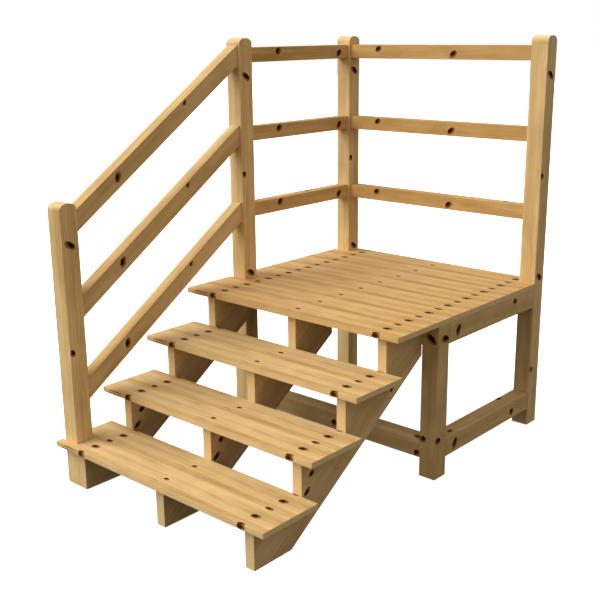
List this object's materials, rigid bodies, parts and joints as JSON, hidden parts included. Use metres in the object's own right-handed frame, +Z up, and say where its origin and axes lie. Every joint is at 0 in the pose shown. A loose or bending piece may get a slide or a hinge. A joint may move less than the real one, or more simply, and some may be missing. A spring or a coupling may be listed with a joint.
{
  "type": "spa steps",
  "caption": "Pine steps up to a slatted deck beside a spa, with posts and rails along the left side and the back and an open right side.",
  "frame": {"origin": "on the ground, in the middle of the footprint", "axes": "+Z up, +Y the way the flight climbs (to the railed back), +X to the climber's right (the open side)"},
  "size_m": [1.2, 1.9244, 1.813],
  "materials": {
    "decking": "planed knotty pine, satin oil",
    "post": "planed knotty pine, satin oil",
    "rail": "planed knotty pine, satin oil",
    "frame": "planed knotty pine, satin oil",
    "zinc": "bright zinc plate"
  },
  "bodies": {
    "root": {"tread_1_front_board": "decking", "tread_1_rear_board": "decking", "tread_2_front_board": "decking", "tread_2_rear_board": "decking", "tread_3_front_board": "decking", "tread_3_rear_board": "decking", "deck_board_1": "decking", "deck_board_2": "decking", "deck_board_3": "decking", "deck_board_4": "decking", "deck_board_5": "decking", "deck_board_6": "decking", "deck_board_7": "decking", "deck_board_8": "decking", "newel_post": "post", "stair_head_post": "post", "rear_left_post": "post", "rear_right_post": "post", "front_right_leg": "post", "stringer_left": "frame", "stringer_middle": "frame", "stringer_right": "frame", "front_rim_joist": "frame", "rear_rim_joist": "frame", "left_rim_joist": "frame", "right_rim_joist": "frame", "middle_joist": "frame", "front_stretcher": "frame", "right_stretcher": "frame", "stair_rail_lower": "rail", "stair_rail_middle": "rail", "stair_rail_top": "rail", "side_rail_lower": "rail", "side_rail_middle": "rail", "side_rail_top": "rail", "back_rail_lower": "rail", "back_rail_middle": "rail", "back_rail_top": "rail", "stringer_bracket_left": "zinc", "stringer_bracket_middle": "zinc", "stringer_bracket_right": "zinc", "joist_bracket_front": "zinc", "joist_bracket_rear": "zinc", "front_rim_bracket_left": "zinc", "front_rim_bracket_right": "zinc", "rear_rim_bracket_left": "zinc", "rear_rim_bracket_right": "zinc", "left_rim_bracket_front": "zinc", "left_rim_bracket_rear": "zinc", "right_rim_bracket_front": "zinc", "right_rim_bracket_rear": "zinc", "newel_washer_lower": "zinc", "newel_washer_upper": "zinc", "newel_screw_lower": "zinc", "newel_screw_upper": "zinc"}
  },
  "joints": []
}
